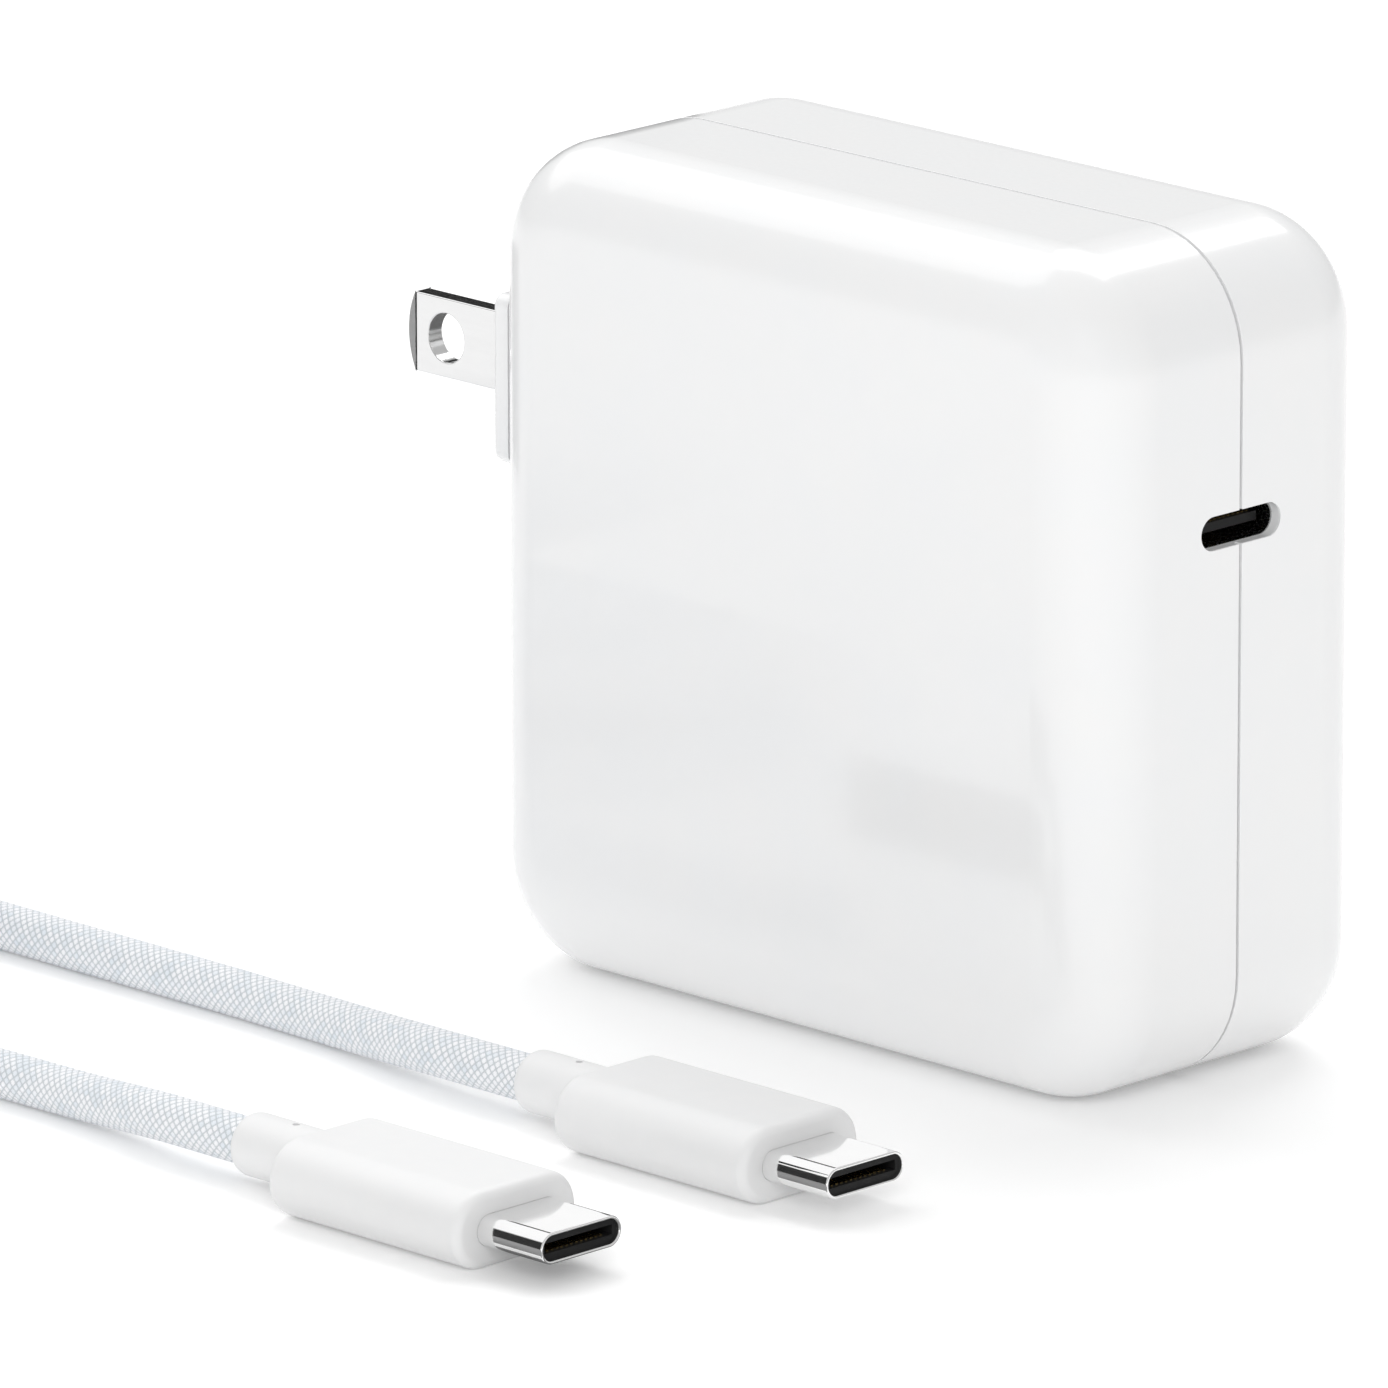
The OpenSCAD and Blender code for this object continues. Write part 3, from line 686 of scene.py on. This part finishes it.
def braid_material():
    """Diamond braid of pale strands: cells in two directions, each strand with its own tint, and
    painted shade in the gaps between strands and fibres.
    """
    graph = Graph("braid", (0.8, 0.85, 0.9), 0.7, Sheen_Weight=0.3)
    where = graph.node("UVMap", {}, uv_map="braid").outputs["UV"]
    parts = graph.node("SeparateXYZ", {"Vector": where})
    around = graph.math("MULTIPLY", parts.outputs["X"], CELLS_AROUND)
    along = graph.math("DIVIDE", parts.outputs["Y"], CELL_LENGTH)
    a = graph.math("ADD", around, along)
    b = graph.math("SUBTRACT", around, along)
    cell_a, cell_b = (graph.math("FLOOR", value) for value in (a, b))
    in_a, in_b = (graph.math("FRACT", value) for value in (a, b))
    arch_a, arch_b = (
        graph.math("SINE", graph.math("MULTIPLY", value, pi)) for value in (in_a, in_b)
    )
    height = graph.math("SQRT", graph.math("MULTIPLY", arch_a, arch_b))
    strand = graph.math("FLOORED_MODULO", graph.math("ADD", cell_a, cell_b), 2)
    strand_a = graph.math("FLOORED_MODULO", cell_a, CELLS_AROUND)
    strand_b = graph.math("ADD", graph.math("FLOORED_MODULO", cell_b, CELLS_AROUND), 50)
    over = graph.node("Mix", {"Factor": strand, 2: strand_a, 3: strand_b}).outputs[0]
    fibre = graph.node("Mix", {"Factor": strand, 2: in_a, 3: in_b}).outputs[0]
    fibres = graph.math("ABSOLUTE", graph.math("SINE", graph.math("MULTIPLY", fibre, 3 * pi)))
    tint = graph.node("TexWhiteNoise", {"W": over}, noise_dimensions="1D").outputs["Value"]
    cell_place = graph.node("CombineXYZ", {"X": strand_a, "Y": strand_b}).outputs[0]
    cell_inputs = {"Vector": cell_place}
    cell = graph.node("TexWhiteNoise", cell_inputs, noise_dimensions="2D").outputs["Value"]
    patches = graph.noise(2.5 * MM)
    amount = graph.math("ADD", graph.math("MULTIPLY", tint, 0.25), graph.math("MULTIPLY", cell, 0.5))
    drift = graph.math("MULTIPLY", graph.math("SUBTRACT", patches, 0.5), 1.2)
    amount = graph.math("ADD", amount, drift)
    pale = graph.mix(graph.ramp(amount, 0, 1), PALE_STRAND, BLUE_STRAND)
    # Painted shade: the colour darkens from the pale strands to a dark grey in the gaps between
    # strands and in the grooves between fibres
    fibres = graph.math("ADD", graph.math("MULTIPLY", fibres, 0.35), 0.65)
    relief = graph.math("MULTIPLY", height, fibres)
    shade = graph.ramp(relief, 0.3, 1)
    colours = {"Factor": shade, 6: (*PAINTED_GAP_SHADE, 1), 7: pale}
    colour = graph.node("Mix", colours, data_type="RGBA")
    graph.set(graph.shader, {"Base Color": colour.outputs[2]})
    graph.bump(relief, WEAVE_BUMP)
    return graph.material


MATERIALS = {
    "white_gloss": grained(
        "white_gloss", (0.86, 0.86, 0.86), (0.85, 0.855, 0.86), (0.2, 0.24), size=0.5,
        depth=0.0004, Coat_Weight=0.4, Coat_Roughness=0.08,
    ),
    "white_satin": grained(
        "white_satin", (0.8, 0.8, 0.8), (0.79, 0.792, 0.795), (0.42, 0.5), size=0.12, depth=0.002
    ),
    "inner_plastic": grained(
        "inner_plastic", (0.82, 0.82, 0.82), (0.8, 0.8, 0.79), (0.35, 0.45), size=0.3
    ),
    "blade_metal": grained(
        "blade_metal", (0.78, 0.78, 0.78), (0.76, 0.76, 0.76), (0.1, 0.17), 1,
        size=0.06, stretch=(0.06, 1, 1), depth=0.0006,
    ),
    "plug_metal": grained(
        "plug_metal", (0.96, 0.96, 0.96), (0.94, 0.94, 0.94), (0.06, 0.1), 1, size=0.2, depth=0.0004
    ),
    "socket_metal": grained(
        "socket_metal", (0.5, 0.5, 0.5), (0.42, 0.42, 0.42), (0.2, 0.3), 1, size=0.2, depth=0.001
    ),
    "black_plastic": grained(
        "black_plastic", (0.012, 0.012, 0.013), (0.018, 0.018, 0.018), (0.45, 0.55), size=0.2,
        Specular_IOR_Level=0.15,
    ),
    "gold_contact": grained(
        "gold_contact", (0.83, 0.62, 0.27), (0.78, 0.57, 0.24), (0.2, 0.28), 1, size=0.1
    ),
    "spring_bronze": grained(
        "spring_bronze", (0.66, 0.42, 0.2), (0.6, 0.37, 0.17), (0.25, 0.35), 1,
        size=0.15, stretch=(1, 1, 0.1),
    ),
    "spring_steel": grained(
        "spring_steel", (0.55, 0.56, 0.58), (0.48, 0.49, 0.52), (0.25, 0.35), 1,
        size=0.15, stretch=(1, 1, 0.1),
    ),
    "board": grained(
        "board", (0.02, 0.14, 0.06), (0.03, 0.19, 0.08), (0.3, 0.4), size=0.25, depth=0.01
    ),
    "ferrite": grained(
        "ferrite", (0.07, 0.07, 0.075), (0.11, 0.11, 0.11), (0.55, 0.7), size=0.15, depth=0.01
    ),
    "bobbin_plastic": grained(
        "bobbin_plastic", (0.03, 0.03, 0.03), (0.045, 0.045, 0.045), (0.4, 0.5), size=0.2
    ),
    "winding_tape": grained(
        "winding_tape", (0.8, 0.6, 0.08), (0.72, 0.5, 0.05), (0.25, 0.4),
        size=0.5, stretch=(1, 4, 1), depth=0.02,
    ),
    "choke_wire": grained(
        "choke_wire", (0.6, 0.2, 0.07), (0.45, 0.13, 0.04), (0.2, 0.35), 1,
        size=0.5, stretch=(4, 0.3, 0.3), depth=0.08,
    ),
    "capacitor_sleeve": grained(
        "capacitor_sleeve", (0.02, 0.025, 0.06), (0.03, 0.035, 0.08), (0.25, 0.35), size=0.4
    ),
    "polymer_can": grained(
        "polymer_can", (0.72, 0.73, 0.74), (0.65, 0.66, 0.68), (0.22, 0.32), 1, size=0.2
    ),
    "film_case": grained(
        "film_case", (0.75, 0.6, 0.12), (0.7, 0.55, 0.1), (0.4, 0.5), size=0.3
    ),
    "disc_coating": grained(
        "disc_coating", (0.03, 0.09, 0.4), (0.04, 0.12, 0.46), (0.3, 0.42), size=0.5, depth=0.02
    ),
    "fuse_case": grained(
        "fuse_case", (0.16, 0.07, 0.03), (0.2, 0.09, 0.04), (0.35, 0.45), size=0.3
    ),
    "chip_epoxy": grained(
        "chip_epoxy", (0.02, 0.02, 0.022), (0.03, 0.03, 0.032), (0.5, 0.62), size=0.08, depth=0.006
    ),
    "heat_aluminium": grained(
        "heat_aluminium", (0.78, 0.79, 0.8), (0.7, 0.71, 0.73), (0.28, 0.4), 1,
        size=0.1, stretch=(1, 1, 0.08), depth=0.002,
    ),
    "copper_sheet": grained(
        "copper_sheet", (0.85, 0.45, 0.28), (0.75, 0.37, 0.22), (0.22, 0.36), 1,
        size=0.15, stretch=(0.08, 1, 1), depth=0.002,
    ),
    "pad_gel": grained(
        "pad_gel", (0.35, 0.5, 0.62), (0.4, 0.55, 0.66), (0.6, 0.75), size=0.3, depth=0.02
    ),
    "insulation": grained(
        "insulation", (0.78, 0.75, 0.66), (0.74, 0.71, 0.62), (0.5, 0.6), size=0.25, depth=0.008
    ),
    "lead_black": grained(
        "lead_black", (0.02, 0.02, 0.02), (0.03, 0.03, 0.03), (0.4, 0.5), size=0.2
    ),
    "lead_white": grained(
        "lead_white", (0.78, 0.78, 0.78), (0.74, 0.74, 0.73), (0.4, 0.5), size=0.2
    ),
    "braid": braid_material(),
    "strap": grained(
        "strap", (0.8, 0.81, 0.82), (0.7, 0.72, 0.75), (0.75, 0.9),
        size=0.25, stretch=(1, 2, 1), depth=0.06, Sheen_Weight=0.3,
    ),
}


def dress_frame():
    """Every CAD node that stays takes its slot's material."""
    for part in frame["record"]["subparts"]:
        mesh = frame["nodes"][part["node"]].data
        mesh.materials.clear()
        mesh.materials.append(MATERIALS[part["material_slot"]])
        mesh.shade_smooth()
        mesh.set_sharp_from_angle(angle=SHARP)


# ---------- camera, floor and lights ----------

def bearing(azimuth, elevation):
    """Unit vector from the object towards a place at this azimuth and elevation."""
    return Vector((
        sin(azimuth) * cos(elevation), -cos(azimuth) * cos(elevation), sin(elevation)
    ))


def add_camera():
    """The photograph's viewpoint."""
    across = Vector((cos(CAMERA_AZIMUTH), sin(CAMERA_AZIMUTH), 0))
    back = bearing(CAMERA_AZIMUTH, CAMERA_ELEVATION)
    up = back.cross(across)
    camera = bpy.data.objects.new("camera", bpy.data.cameras.new("camera"))
    camera.data.lens = CAMERA_LENS
    camera.data.sensor_width = SENSOR_WIDTH
    camera.data.clip_end = 20
    place_at = Vector((0, 0, MID_Z)) + back * CAMERA_DISTANCE
    place_at += across * CAMERA_ACROSS + up * CAMERA_UP
    turn = Matrix((across, up, back)).transposed() @ Matrix.Rotation(CAMERA_ROLL, 3, "Z")
    camera.matrix_world = Matrix.LocRotScale(place_at, turn, None)
    bpy.context.scene.collection.objects.link(camera)
    bpy.context.scene.camera = camera


def add_softbox(name, azimuth, elevation, distance, size, power, mirrored=True):
    """A square soft light that faces the body's middle, and shows in reflections if mirrored."""
    light = bpy.data.lights.new(name, "AREA")
    light.size = size
    light.energy = power
    softbox = bpy.data.objects.new(name, light)
    direction = bearing(radians(azimuth), radians(elevation))
    softbox.location = Vector((0, 0, MID_Z)) + direction * distance
    softbox.rotation_euler = direction.to_track_quat("Z", "Y").to_euler()
    softbox.visible_glossy = mirrored
    bpy.context.scene.collection.objects.link(softbox)


def add_floor():
    """A plain pale table with a faint glow of its own."""
    edge = 6
    corners = [(-edge, -edge), (edge, -edge), (edge, edge), (-edge, edge)]
    mesh = bpy.data.meshes.new("floor")
    mesh.from_pydata([(x, y, 0) for x, y in corners], [], [(0, 1, 2, 3)])
    mesh.materials.append(grained(
        "floor", (0.93, 0.93, 0.93), (0.925, 0.925, 0.925), (0.6, 0.7), size=2, depth=0.001,
        Emission_Color=(1, 1, 1, 1), Emission_Strength=FLOOR_GLOW,
    ))
    add_piece("floor", mesh)


def add_card(name, corners, shade, glow=0):
    """A card that only reflections show, so that polished metal has light and dark in it.

    The cards are placed for the photograph's angle. The glossy body reflects them as well.
    """
    mesh = bpy.data.meshes.new(name)
    mesh.from_pydata(corners, [], [(0, 1, 2, 3)])
    finish = Graph(
        name, (shade, shade, shade), 1, Specular_IOR_Level=0,
        Emission_Color=(1, 1, 1, 1), Emission_Strength=glow,
    )
    mesh.materials.append(finish.material)
    card = add_piece(name, mesh)
    card.visible_camera = False
    card.visible_diffuse = False
    card.visible_transmission = False
    card.visible_shadow = False


def standing_card(name, origin, azimuth, elevations, distance, width, shade):
    """An upright card at a bearing from the origin, between two elevations seen from there."""
    out = bearing(radians(azimuth), 0)
    across = Vector((-out[1], out[0], 0)) * width / 2
    low, high = (origin + distance * (out + Vector((0, 0, tan(radians(e))))) for e in elevations)
    add_card(name, [low - across, low + across, high + across, high - across], shade)


def blade_cards():
    """Dark cards that only reflections show: painted dark reflections on the front blade's top edge,
    its bevelled tip and its hole's wall.
    """
    top = Vector(((TIP_X + PLATE_X) / 2, BLADE_FRONT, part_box("front_blade")[1][2]))
    tip = Vector((TIP_X, BLADE_FRONT, HINGE[2]))
    hole = Vector((HOLE_X, BLADE_FRONT, HINGE[2]))
    standing_card("blade_top_card", top, -135, (7, 24), 60 * MM, 32 * MM, 0.02)
    standing_card("blade_tip_card", tip, -77, (-36, 8), 24 * MM, 20 * MM, 0.46)
    standing_card("blade_hole_card", hole, 180, (-62, -24), 15 * MM, 24 * MM, 0.2)


def tongue_cards(plug):
    """Cards along a tongue: their reflections are straight lines on its top and its near side."""
    low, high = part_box(plug + "_shell")
    # Card corners are in millimetres from here: the middle of the tongue's near top edge
    start = Vector((high[0] - 3.3 * MM, low[1], high[2]))
    above_floor = 0.15
    above_x, above_y = (-36, -8), 18

    def card(name, corners, shade, glow=0):
        add_card(plug + name, [start + Vector(corner) * MM for corner in corners], shade, glow)

    def upright(name, x, y, z, shade, glow=0):
        corners = [(x[0], y, z[0]), (x[1], y, z[0]), (x[1], y, z[1]), (x[0], y, z[1])]
        card(name, corners, shade, glow)

    upright("_top_card", above_x, above_y, (1, 9.3), 0, 1)
    upright("_line_card", above_x, above_y, (9.3, 15.8), 0.02)
    upright("_band_card", (-17, 1), -6, (-2, 5), 0.04)
    on_floor = -start[2] / MM + above_floor
    card("_floor_card", [
        (x, y, on_floor) for x, y in [(-29, -26), (11, -26), (11, -1.5), (-29, -1.5)]
    ], 0.28)


def sky_card():
    """A bright, glowing card above both plugs that only reflections show: a painted highlight in
    their polished and glossy surfaces.
    """
    corners = [(-30, -100), (34, -100), (34, -17), (-30, -17)]
    add_card("plug_sky_card", [Vector((x, y, 33)) * MM for x, y in corners], 0, 1)


def add_world(level):
    """A plain white surround."""
    world = bpy.data.worlds.new("world")
    world.use_nodes = True
    background = world.node_tree.nodes["Background"]
    background.inputs["Color"].default_value = (1, 1, 1, 1)
    background.inputs["Strength"].default_value = level
    bpy.context.scene.world = world
    bpy.context.scene.view_settings.view_transform = "Standard"


add_camera()
add_floor()
add_world(0.58)
add_softbox("key", 40, 28, 1.2, 0.6, 4.2, mirrored=False)
add_softbox("left", -90, 45, 1, 0.8, 2.4)
add_softbox("back", -150, 58, 1.2, 0.8, 6)
blade_cards()
sky_card()

dress_frame()
half_shell("front_shell", -1)
half_shell("rear_shell", 1)
plug_plate()
blade("front_blade")
blade("rear_blade")
on_cord = []
for plug_name in ("plug_a", "plug_b"):
    on_cord += [grip(plug_name), collar(plug_name), tongue(plug_name)]
    on_cord += [plug_name + "_insert", plug_name + "_contacts"]
    tongue_cards(plug_name)
on_cord.append(strap())
cord()
